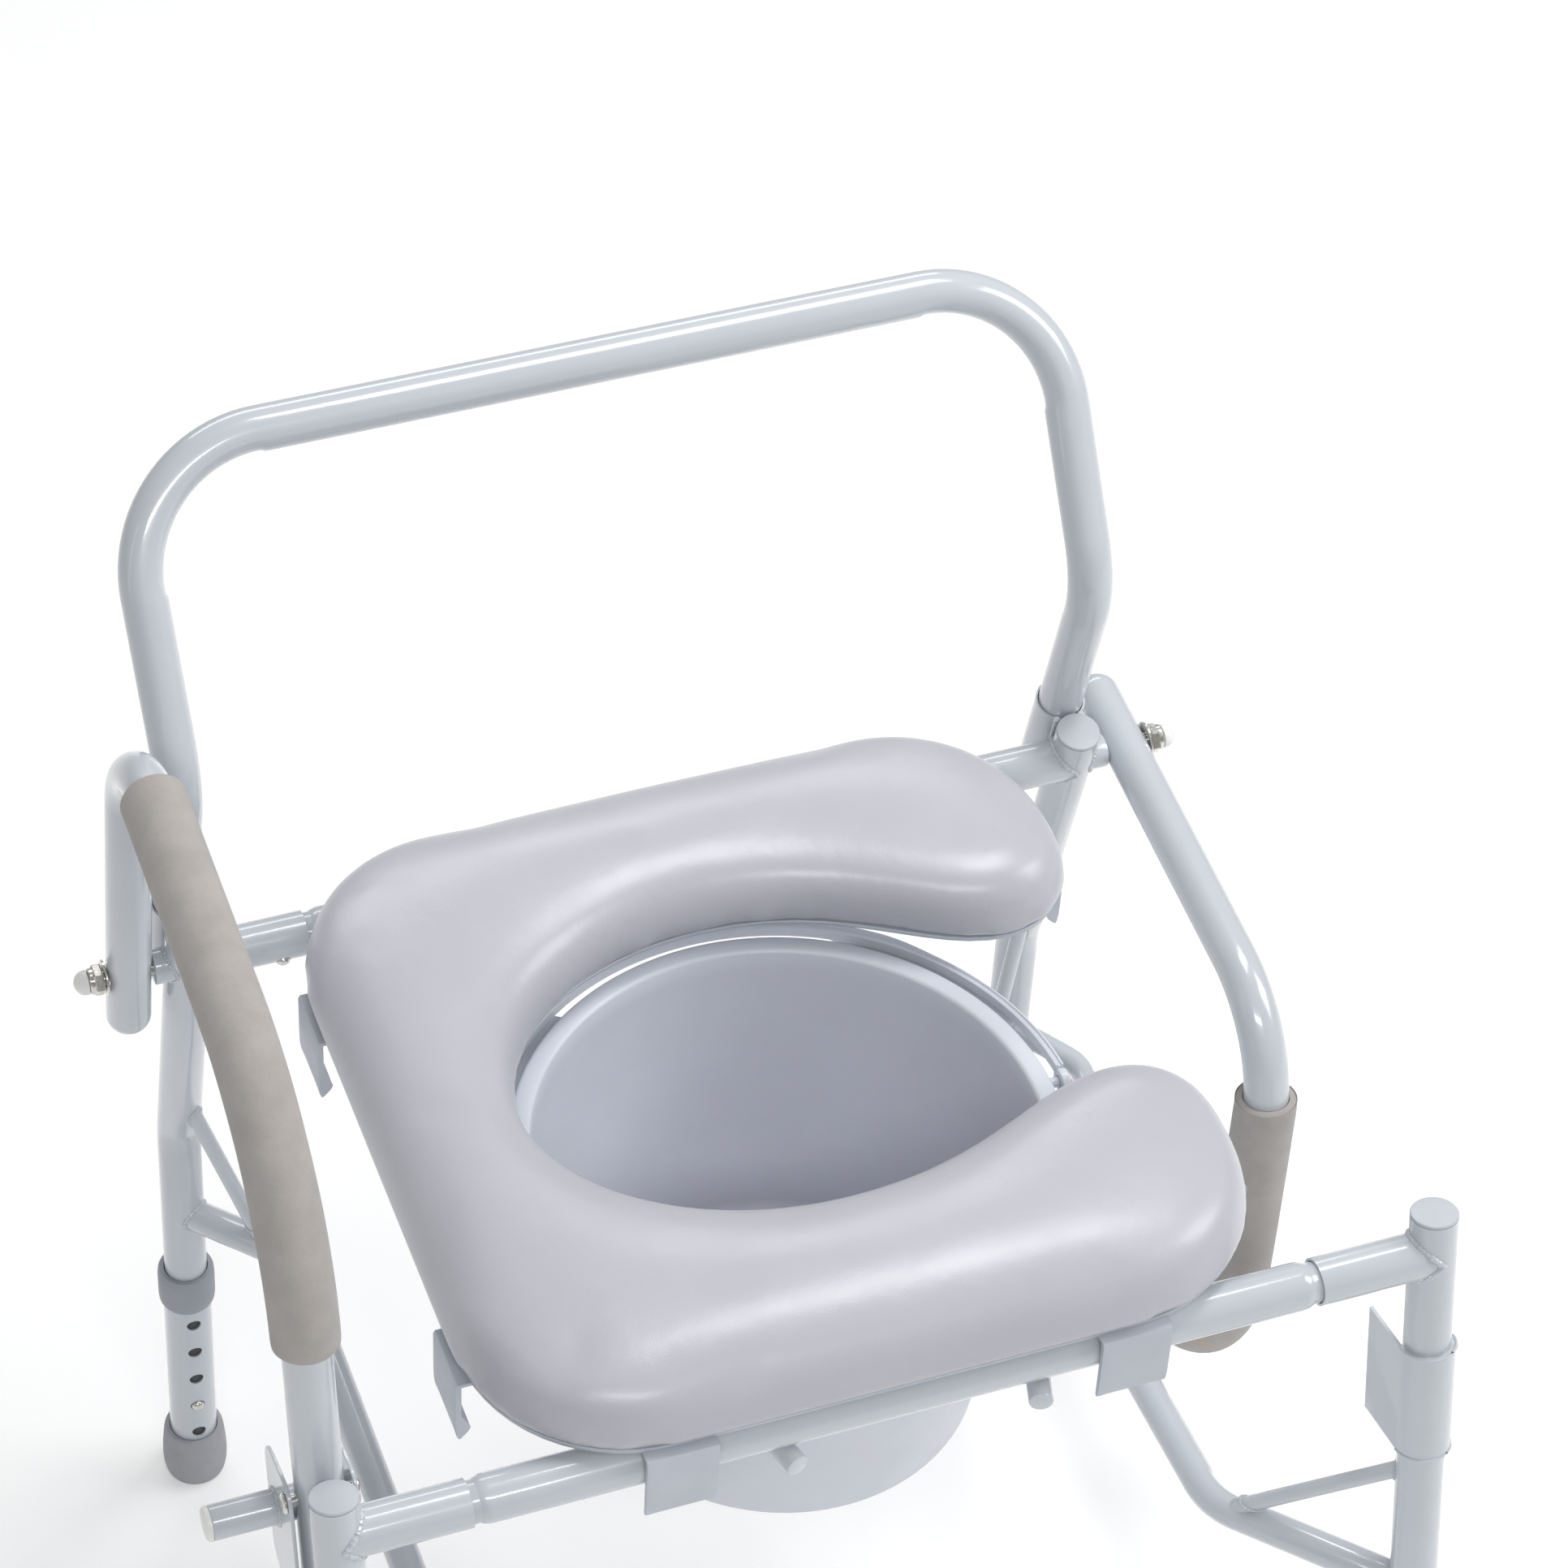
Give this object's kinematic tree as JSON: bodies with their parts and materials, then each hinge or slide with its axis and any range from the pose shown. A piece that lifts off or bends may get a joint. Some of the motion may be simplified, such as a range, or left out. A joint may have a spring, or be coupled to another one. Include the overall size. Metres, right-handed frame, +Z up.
{
  "type": "commode chair",
  "caption": "Bedside commode chair with a knock-down tube frame, horseshoe pad seat, lift-out pail, swing-down arms and height-adjustable legs.",
  "frame": {"origin": "middle of the four feet's outer box on the floor: the centre of the bottom of the bounding box", "axes": "+Z up, -Y the way a sitter faces, +X towards the side whose arm is dropped"},
  "size_m": [0.7032, 0.614, 0.7955],
  "materials": {
    "powder_coat": "glossy light grey powder coat on steel tube",
    "nickel": "bright nickel or zinc plate",
    "foam": "matt closed-cell foam sleeve",
    "vinyl": "smooth coated fabric",
    "pail_plastic": "moulded polypropylene",
    "seat_plastic": "moulded plastic",
    "collar_plastic": "moulded plastic",
    "cap_plastic": "moulded plastic",
    "rubber": "matt ferrule rubber",
    "nylon": "white nylon"
  },
  "bodies": {
    "root": {"front_cap_left": "cap_plastic", "front_cap_right": "cap_plastic", "front_crossbar": "powder_coat", "front_post_left": "powder_coat", "front_post_right": "powder_coat", "pail_rod_left": "powder_coat", "pail_rod_right": "powder_coat", "pivot_bolt_left": "nickel", "pivot_bolt_right": "nickel", "pivot_cap_left": "nylon", "pivot_cap_right": "nylon", "pivot_nut_left": "nickel", "pivot_nut_right": "nickel", "pivot_washer_left": "nickel", "pivot_washer_right": "nickel", "rear_cap_left": "cap_plastic", "rear_cap_right": "cap_plastic", "rear_crossbar": "powder_coat", "rear_post_left": "powder_coat", "rear_post_right": "powder_coat", "side_brace_left": "powder_coat", "side_brace_right": "powder_coat"},
    "arm_left": {"arm_left": "powder_coat", "arm_grip_left": "foam"},
    "latch_left": {"latch_left": "powder_coat", "latch_rivet_left": "nickel", "latch_plug_left": "nylon"},
    "leg_front_left": {"leg_extension_front_left": "powder_coat", "leg_collar_front_left": "collar_plastic", "leg_tip_front_left": "rubber"},
    "leg_button_front_left": {"leg_button_front_left": "nickel"},
    "crossbar_button_front_left": {"crossbar_button_front_left": "nickel"},
    "leg_rear_left": {"leg_extension_rear_left": "powder_coat", "leg_collar_rear_left": "collar_plastic", "leg_tip_rear_left": "rubber"},
    "leg_button_rear_left": {"leg_button_rear_left": "nickel"},
    "crossbar_button_rear_left": {"crossbar_button_rear_left": "nickel"},
    "backrest_button_left": {"backrest_button_left": "nickel"},
    "arm_right": {"arm_right": "powder_coat", "arm_grip_right": "foam"},
    "latch_right": {"latch_right": "powder_coat", "latch_rivet_right": "nickel", "latch_plug_right": "nylon"},
    "leg_front_right": {"leg_extension_front_right": "powder_coat", "leg_collar_front_right": "collar_plastic", "leg_tip_front_right": "rubber"},
    "leg_button_front_right": {"leg_button_front_right": "nickel"},
    "crossbar_button_front_right": {"crossbar_button_front_right": "nickel"},
    "leg_rear_right": {"leg_extension_rear_right": "powder_coat", "leg_collar_rear_right": "collar_plastic", "leg_tip_rear_right": "rubber"},
    "leg_button_rear_right": {"leg_button_rear_right": "nickel"},
    "crossbar_button_rear_right": {"crossbar_button_rear_right": "nickel"},
    "backrest_button_right": {"backrest_button_right": "nickel"},
    "backrest": {"backrest": "powder_coat"},
    "seat": {"seat_base": "seat_plastic", "seat_pad": "vinyl"},
    "pail": {"pail": "pail_plastic"},
    "bail": {"pail_bail": "pail_plastic"}
  },
  "joints": [
    {"name": "arm_left_pivot", "type": "hinge", "parent": "root", "child": "arm_left", "pos_m": [-0.296, 0.20055, 0.497], "axis": [1, 0, 0], "range_deg": [0, 87.3]},
    {"name": "latch_left_pivot", "type": "hinge", "parent": "arm_left", "child": "latch_left", "pos_m": [-0.296, -0.16957, 0.49366], "axis": [1, 0, 0], "range_deg": [0, 28], "stiffness_Nm_per_rad": 0.8, "springref_deg": -28.65},
    {"name": "leg_front_left_slide", "type": "slide", "parent": "root", "child": "leg_front_left", "axis": [0, 0.1762, 0.9844], "range_m": [-0.0762, 0.0254], "deforming": ["leg_button_front_left"]},
    {"name": "leg_button_front_left_push", "type": "slide", "parent": "root", "child": "leg_button_front_left", "axis": [0, 0.9844, -0.1762], "range_m": [0, 0.0035], "stiffness_N_per_m": 400, "springref_m": -0.003},
    {"name": "crossbar_button_front_left_push", "type": "slide", "parent": "root", "child": "crossbar_button_front_left", "axis": [0, -0.8, 0.6], "range_m": [0, 0.0035], "stiffness_N_per_m": 400, "springref_m": -0.003},
    {"name": "leg_rear_left_slide", "type": "slide", "parent": "root", "child": "leg_rear_left", "axis": [0, -0.0174, 0.9998], "range_m": [-0.0762, 0.0254], "deforming": ["leg_button_rear_left"]},
    {"name": "leg_button_rear_left_push", "type": "slide", "parent": "root", "child": "leg_button_rear_left", "axis": [0, 0.9998, 0.0174], "range_m": [0, 0.0035], "stiffness_N_per_m": 400, "springref_m": -0.003},
    {"name": "crossbar_button_rear_left_push", "type": "slide", "parent": "root", "child": "crossbar_button_rear_left", "axis": [0, 0.8, 0.6], "range_m": [0, 0.0035], "stiffness_N_per_m": 400, "springref_m": -0.003},
    {"name": "backrest_button_left_push", "type": "slide", "parent": "backrest", "child": "backrest_button_left", "axis": [0, -1, 0], "range_m": [0, 0.0035], "stiffness_N_per_m": 400, "springref_m": -0.003},
    {"name": "arm_right_pivot", "type": "hinge", "parent": "root", "child": "arm_right", "pos_m": [0.296, 0.20055, 0.497], "axis": [1, 0, 0], "range_deg": [-87.3, 0]},
    {"name": "latch_right_pivot", "type": "hinge", "parent": "arm_right", "child": "latch_right", "pos_m": [0.296, 0.18646, 0.12713], "axis": [1, 0, 0], "range_deg": [0, 28], "stiffness_Nm_per_rad": 0.8, "springref_deg": -28.65},
    {"name": "leg_front_right_slide", "type": "slide", "parent": "root", "child": "leg_front_right", "axis": [0, 0.1762, 0.9844], "range_m": [-0.0762, 0.0254], "deforming": ["leg_button_front_right"]},
    {"name": "leg_button_front_right_push", "type": "slide", "parent": "root", "child": "leg_button_front_right", "axis": [0, 0.9844, -0.1762], "range_m": [0, 0.0035], "stiffness_N_per_m": 400, "springref_m": -0.003},
    {"name": "crossbar_button_front_right_push", "type": "slide", "parent": "root", "child": "crossbar_button_front_right", "axis": [0, -0.8, 0.6], "range_m": [0, 0.0035], "stiffness_N_per_m": 400, "springref_m": -0.003},
    {"name": "leg_rear_right_slide", "type": "slide", "parent": "root", "child": "leg_rear_right", "axis": [0, -0.0174, 0.9998], "range_m": [-0.0762, 0.0254], "deforming": ["leg_button_rear_right"]},
    {"name": "leg_button_rear_right_push", "type": "slide", "parent": "root", "child": "leg_button_rear_right", "axis": [0, 0.9998, 0.0174], "range_m": [0, 0.0035], "stiffness_N_per_m": 400, "springref_m": -0.003},
    {"name": "crossbar_button_rear_right_push", "type": "slide", "parent": "root", "child": "crossbar_button_rear_right", "axis": [0, 0.8, 0.6], "range_m": [0, 0.0035], "stiffness_N_per_m": 400, "springref_m": -0.003},
    {"name": "backrest_button_right_push", "type": "slide", "parent": "backrest", "child": "backrest_button_right", "axis": [0, -1, 0], "range_m": [0, 0.0035], "stiffness_N_per_m": 400, "springref_m": -0.003},
    {"name": "backrest_lift", "type": "slide", "parent": "root", "child": "backrest", "axis": [0, -0.2343, 0.9722], "range_m": [0, 0.06], "deforming": ["backrest_button_left", "backrest_button_right"]},
    {"name": "seat_lift", "type": "slide", "parent": "root", "child": "seat", "axis": [0, 0, 1], "range_m": [0, 0.06]},
    {"name": "pail_lift", "type": "slide", "parent": "root", "child": "pail", "axis": [0, 0, 1], "range_m": [0, 0.01]},
    {"name": "bail_swing", "type": "hinge", "parent": "pail", "child": "bail", "pos_m": [0.006, -0.02345, 0.489], "axis": [1, 0, 0], "range_deg": [0, 4.5]}
  ]
}
